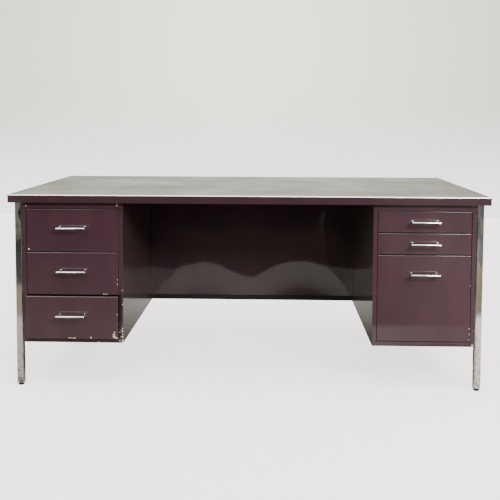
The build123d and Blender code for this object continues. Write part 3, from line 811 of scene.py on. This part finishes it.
def place_camera(stage):
    """The camera, turned by a yaw to the left, a pitch down and a roll."""
    yaw, pitch, roll = stage.camera_turn
    forward = Vector((-math.sin(yaw) * math.cos(pitch), math.cos(yaw) * math.cos(pitch), -math.sin(pitch)))
    right = Vector((math.cos(yaw), math.sin(yaw), 0.0))
    down = forward.cross(right)
    level = Matrix((right, -down, -forward)).transposed()
    data = bpy.data.cameras.new("camera")
    data.lens = stage.lens
    data.shift_y = stage.camera_shift
    data.dof.use_dof = False
    camera = bpy.data.objects.new("camera", data)
    turn = level @ Matrix.Rotation(roll, 3, "Z")
    camera.matrix_world = Matrix.Translation(stage.camera_place) @ turn.to_4x4()
    bpy.context.scene.collection.objects.link(camera)
    bpy.context.scene.camera = camera


def build_backdrop(stage):
    """A pale sheet that stands up behind the desk in one wide curve, as a studio's cove does."""
    shape = bmesh.new()
    foot = Vector((-COVE_HALF, COVE_FOOT_Y, COVE_FOOT_HEIGHT))
    start = shape.verts.new(foot)
    bend = bmesh.ops.spin(shape, geom=[start], cent=foot + Vector((0.0, 0.0, COVE_RADIUS)),
                          axis=(1.0, 0.0, 0.0), angle=math.radians(90), steps=24)
    last = [item for item in bend["geom_last"] if isinstance(item, bmesh.types.BMVert)]
    risen = bmesh.ops.extrude_vert_indiv(shape, verts=last)
    bmesh.ops.translate(shape, vec=(0.0, 0.0, COVE_RISE), verts=risen["verts"])
    wide = bmesh.ops.extrude_edge_only(shape, edges=shape.edges[:])
    bmesh.ops.translate(shape, vec=(2 * COVE_HALF, 0.0, 0.0),
                        verts=[item for item in wide["geom"] if isinstance(item, bmesh.types.BMVert)])
    return link_mesh("backdrop", shape, 60)


def paper_material(name, stage):
    """White background paper: matt, and lit a little from below so that the desk's shadow stays soft."""
    material, tree, surface = new_material(name)
    matt = [PAPER_SHADE * channel for channel in stage.paper]
    shader = add(tree, "BsdfPrincipled", {"Base Color": rgba(matt), "Roughness": 0.9,
                                          "Specular IOR Level": 0.2,
                                          "Emission Color": rgba(stage.paper),
                                          "Emission Strength": stage.floor_glow})
    tree.links.new(shader.outputs["BSDF"], surface)
    return material


def backdrop_material(name, stage):
    """A pale cove, lit brightest behind the desk and blending into the paper at its foot."""
    material, tree, surface = new_material(name)
    place = add(tree, "TexCoord").outputs["Object"]
    apart = add(tree, "SeparateXYZ", {"Vector": place})
    away = add(tree, "VectorMath", {0: place, 1: (-0.3, 7.0, 2.0)}, operation="DISTANCE")
    wall = add(tree, "MapRange", {"Value": away.outputs["Value"], "From Min": 0.8, "From Max": 4.6,
                                  "To Min": 1.2, "To Max": 0.7})
    foot = add(tree, "MapRange", {"Value": apart.outputs["Z"], "From Max": 1.3, "To Min": 1.0, "To Max": 0.0},
               interpolation_type="SMOOTHSTEP")
    strength = add(tree, "Mix", {0: foot.outputs["Result"], 2: wall.outputs["Result"], 3: 1.25},
                   data_type="FLOAT")
    tone = add(tree, "Mix", {0: foot.outputs["Result"], 6: rgba(stage.surround), 7: rgba(stage.paper)},
               data_type="RGBA")
    power = add(tree, "Math", {0: strength.outputs[0], 1: stage.backdrop_glow}, operation="MULTIPLY")
    glow = add(tree, "Emission", {"Color": tone.outputs[2], "Strength": power.outputs["Value"]})
    tree.links.new(glow.outputs["Emission"], surface)
    return material


def painted_reflection_floor_material(name):
    """A floor that only the desk's gloss sees, painted with its reflections and the desk's shadow: a fan of
    tones in front of each leg, each bank of drawers and each half of the knee space."""
    material, tree, surface = new_material(name)
    place = add(tree, "TexCoord").outputs["Object"]
    apart = add(tree, "SeparateXYZ", {"Vector": place})
    far, near = FLOOR_REACH
    along = add(tree, "MapRange", {"Value": apart.outputs["Y"], "From Min": far, "From Max": near})
    colour = rgba((0.0, 0.0, 0.0))
    for offset, slope, fade, stops in FLOOR_FANS.values():
        ramp = add(tree, "ValToRGB", {"Fac": along.outputs["Result"]})
        elements = ramp.color_ramp.elements
        while len(elements) < len(stops):
            elements.new(0.5)
        for element, (y, code) in zip(elements, stops):
            element.position = (y - far) / (near - far)
            element.color = rgba(linear(code))
        line = add(tree, "Math", {0: apart.outputs["Y"], 1: slope, 2: offset}, operation="MULTIPLY_ADD")
        past = add(tree, "Math", {0: apart.outputs["X"], 1: line.outputs["Value"]}, operation="SUBTRACT")
        share = add(tree, "MapRange", {"Value": past.outputs["Value"], "From Min": 0.0, "From Max": fade})
        colour = add(tree, "Mix", {0: share.outputs["Result"], 6: colour, 7: ramp.outputs["Color"]},
                     data_type="RGBA").outputs[2]
    shader = add(tree, "BsdfPrincipled", {"Base Color": colour, "Roughness": 0.9, "Specular IOR Level": 0.0})
    tree.links.new(shader.outputs["BSDF"], surface)
    return material


class DESK_OT_stage(bpy.types.Operator):
    """Makes the pale floor, the backdrop, the soft lights and the camera."""

    bl_idname = "desk.stage"
    bl_label = "Stage"

    def execute(self, context):
        stage = context.scene.desk_stage
        floor = flat_sheet("floor", 0.0)
        floor.data.materials.append(paper_material("paper floor", stage))
        floor.visible_diffuse = False
        floor.visible_glossy = False
        floor.visible_shadow = False
        # A floor seen only in gloss, painted with reflections and the desk's shadow.
        gloss_floor = flat_sheet("painted_reflection_floor", GLOSS_FLOOR_DROP)
        gloss_floor.data.materials.append(painted_reflection_floor_material("painted reflection floor"))
        gloss_floor.visible_diffuse = False
        gloss_floor.visible_shadow = False
        bounce_floor = flat_sheet("dark_floor", BOUNCE_FLOOR_DROP)
        bounce_floor.data.materials.append(plain_material("dark floor", linear(BOUNCE_FLOOR_TONE)))
        bounce_floor.visible_glossy = False
        room = upright_sheet("room_wall")
        room.data.materials.append(plain_material("dim room", linear(ROOM_WALL_TONE)))
        room.visible_camera = False
        room.visible_diffuse = False
        room.visible_shadow = False
        backdrop = build_backdrop(stage)
        backdrop.data.materials.append(backdrop_material("lit backdrop", stage))
        backdrop.visible_shadow = False

        world = bpy.data.worlds.new("surround")
        world.use_nodes = True
        tree = world.node_tree
        background = tree.nodes["Background"]
        background.inputs["Color"].default_value = rgba(stage.surround)
        path = add(tree, "LightPath")
        share = add(tree, "Math", {0: path.outputs["Is Camera Ray"], 1: stage.backdrop_glow - stage.ambient,
                                   2: stage.ambient}, operation="MULTIPLY_ADD")
        tree.links.new(share.outputs["Value"], background.inputs["Strength"])
        context.scene.world = world

        sun = bpy.data.lights.new("overhead", "SUN")
        sun.energy = stage.overhead
        sun.angle = stage.overhead_angle
        sun_object = bpy.data.objects.new("overhead", sun)
        sun_object.rotation_mode = "QUATERNION"
        sun_object.rotation_quaternion = Vector(stage.overhead_from).to_track_quat("Z", "Y")
        context.scene.collection.objects.link(sun_object)
        soft_light("key", stage.key_place, KEY_AIM, stage.light_size, stage.key)
        soft_light("fill", stage.fill_place, FILL_AIM, stage.light_size, stage.fill)
        place_camera(stage)
        return {"FINISHED"}


class DESK_PT_panel(bpy.types.Panel):
    """Lists the desk's operators in the order that they run."""

    bl_idname = "DESK_PT_panel"
    bl_label = "Teacher desk"
    bl_space_type = "VIEW_3D"
    bl_region_type = "UI"
    bl_category = "Desk"

    def draw(self, context):
        for operator in OPERATORS:
            self.layout.operator(operator.bl_idname)


GROUPS = {
    "desk_finish": DeskFinishSettings,
    "desk_hardware": DeskHardwareSettings,
    "desk_stage": DeskStageSettings,
}
OPERATORS = (DESK_OT_finishes, DESK_OT_pulls, DESK_OT_modesty, DESK_OT_stage)


def register():
    """Registers the settings, the operators and the panel."""
    for name, group in GROUPS.items():
        bpy.utils.register_class(group)
        setattr(bpy.types.Scene, name, bpy.props.PointerProperty(type=group))
    for operator in OPERATORS:
        bpy.utils.register_class(operator)
    bpy.utils.register_class(DESK_PT_panel)


def unregister():
    """Takes back what register does."""
    bpy.utils.unregister_class(DESK_PT_panel)
    for operator in reversed(OPERATORS):
        bpy.utils.unregister_class(operator)
    for name, group in GROUPS.items():
        delattr(bpy.types.Scene, name)
        bpy.utils.unregister_class(group)


def main():
    """Runs every operator in order."""
    register()
    bpy.ops.desk.finishes()
    bpy.ops.desk.pulls()
    bpy.ops.desk.modesty()
    bpy.ops.desk.stage()


if __name__ == "__main__":
    main()
